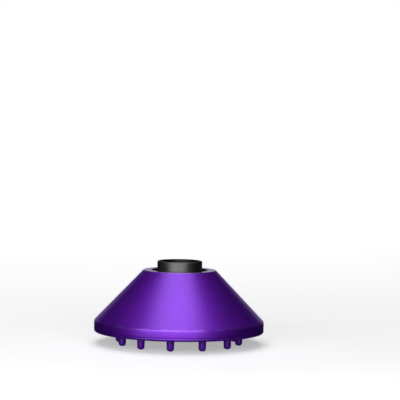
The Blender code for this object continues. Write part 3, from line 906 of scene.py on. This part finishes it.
def centre_cap():
    """Domed cap with a shallow ring groove, and a plug that closes the counterbore."""
    span = Span("centre_cap")
    seat = span.high - GAP
    groove_z = span.low + CAP_GROOVE_DEPTH
    inner_fall, outer_fall, edge_fall = CAP_FALL
    outline = rounded([
        (0.0, span.low),
        (CAP_GROOVE_R - CAP_GROOVE_MOUTH, span.low + inner_fall, CAP_GROOVE_FILLET),
        (CAP_GROOVE_R - CAP_GROOVE_FLOOR, groove_z, CAP_GROOVE_FLOOR_FILLET),
        (CAP_GROOVE_R + CAP_GROOVE_FLOOR, groove_z, CAP_GROOVE_FLOOR_FILLET),
        (CAP_GROOVE_R + CAP_GROOVE_MOUTH, span.low + outer_fall, CAP_GROOVE_FILLET),
        (span.outer, span.low + edge_fall, CAP_EDGE_FILLET),
        (span.outer, seat, CAP_SEAT_FILLET),
        (CAP_PLUG_R, seat),
        (CAP_PLUG_R, span.high),
        (0.0, span.high),
    ])
    mesh = turned("cap_fine", outline, ROUND_SIDES, from_axis=True)
    add_piece("cap_fine", mesh, "prong_purple", "centre_cap")


# -------------------------------------------------------- floor and studio

STUDIO_TURN = Matrix.Rotation(math.radians(CAMERA_TURN_DEG), 4, "Z")


def floor():
    """A pale floor that brightens into the white surroundings away from the object."""
    nodes = Nodes("floor_pale")
    grain = nodes.noise(40.0, detail=4.0)
    nodes.to_shader(nodes.mix(grain, *FLOOR_COLOURS), "Base Color")
    away = nodes.add("ShaderNodeVectorMath", operation="LENGTH")
    nodes.link(nodes.place, away.inputs[0])
    nodes.to_shader(nodes.ramp(away.outputs["Value"], *FLOOR_GLOW, *FLOOR_FADE), "Emission Strength")
    nodes.set(Roughness=0.6, Emission_Color=WHITE)
    bpy.ops.mesh.primitive_plane_add(size=FLOOR_SIZE)
    plane = bpy.context.object
    plane.name = "studio_floor"
    plane.data.materials.append(nodes.material)
    plane.visible_glossy = False
    plane.visible_shadow = False


def softbox(name, at, target, width, height, radiance):
    """An area light that the camera doesn't see."""
    lamp = bpy.data.lights.new(name, "AREA")
    lamp.shape = "RECTANGLE"
    lamp.size = width
    lamp.size_y = height
    lamp.energy = radiance * math.pi * width * height
    box = bpy.data.objects.new(name, lamp)
    facing = (Vector(target) - Vector(at)).to_track_quat("-Z", "Y").to_matrix().to_4x4()
    box.matrix_world = STUDIO_TURN @ Matrix.Translation(at) @ facing
    box.visible_camera = False
    bpy.context.scene.collection.objects.link(box)


def studio():
    """Two softboxes, white surroundings for the camera, and for reflections only a glow behind."""
    softbox("top_softbox", **TOP_SOFTBOX)
    softbox("front_softbox", **FRONT_SOFTBOX)

    world = bpy.data.worlds.new("studio")
    bpy.context.scene.world = world
    world.use_nodes = True
    tree = world.node_tree
    place = tree.nodes.new("ShaderNodeTexCoord")
    turn = tree.nodes.new("ShaderNodeVectorRotate")
    turn.rotation_type = "Z_AXIS"
    turn.inputs["Angle"].default_value = -math.radians(CAMERA_TURN_DEG)
    tree.links.new(place.outputs["Generated"], turn.inputs["Vector"])
    split = tree.nodes.new("ShaderNodeSeparateXYZ")
    tree.links.new(turn.outputs["Vector"], split.inputs["Vector"])

    def window(socket, start, end):
        node = tree.nodes.new("ShaderNodeMapRange")
        node.interpolation_type = "SMOOTHSTEP"
        node.inputs["From Min"].default_value = start
        node.inputs["From Max"].default_value = end
        tree.links.new(socket, node.inputs["Value"])
        return node.outputs["Result"]

    behind = window(split.outputs["Y"], *GLOW_BEHIND_Y)
    below_top = window(split.outputs["Z"], *GLOW_TOP_Z)
    above_bottom = window(split.outputs["Z"], *GLOW_BOTTOM_Z)
    glow = behind
    for other in (below_top, above_bottom):
        node = tree.nodes.new("ShaderNodeMath")
        node.operation = "MULTIPLY"
        tree.links.new(glow, node.inputs[0])
        tree.links.new(other, node.inputs[1])
        glow = node.outputs[0]
    studio_light = tree.nodes.new("ShaderNodeMapRange")
    studio_light.inputs["To Min"].default_value = GLOW_STRENGTH[0]
    studio_light.inputs["To Max"].default_value = GLOW_STRENGTH[1]
    tree.links.new(glow, studio_light.inputs["Value"])
    path = tree.nodes.new("ShaderNodeLightPath")
    seen = tree.nodes.new("ShaderNodeMath")
    seen.operation = "MAXIMUM"
    tree.links.new(studio_light.outputs["Result"], seen.inputs[0])
    tree.links.new(path.outputs["Is Camera Ray"], seen.inputs[1])
    tree.links.new(seen.outputs[0], tree.nodes["Background"].inputs["Strength"])
    tree.nodes["Background"].inputs["Color"].default_value = WHITE
    bpy.context.scene.view_settings.view_transform = "Standard"


def camera():
    data = bpy.data.cameras.new("photo_camera")
    data.lens = LENS_MM
    data.sensor_width = SENSOR_MM
    eye = bpy.data.objects.new("photo_camera", data)
    bpy.context.scene.collection.objects.link(eye)
    tilt = Matrix.Rotation(math.radians(90.0 - CAMERA_PITCH_DEG), 4, "X")
    roll = Matrix.Rotation(math.radians(CAMERA_ROLL_DEG), 4, "Z")
    eye.matrix_world = STUDIO_TURN @ Matrix.Translation(CAMERA_AT * METRES) @ tilt @ roll
    bpy.context.scene.camera = eye


outer_shell()
front_ring()
prong_plate()
prongs()
neck()
neck_fittings()
vane_ring()
magnet_stack()
screws()
heat_shield()
flow_deflector()
centre_cap()
floor()
studio()
camera()
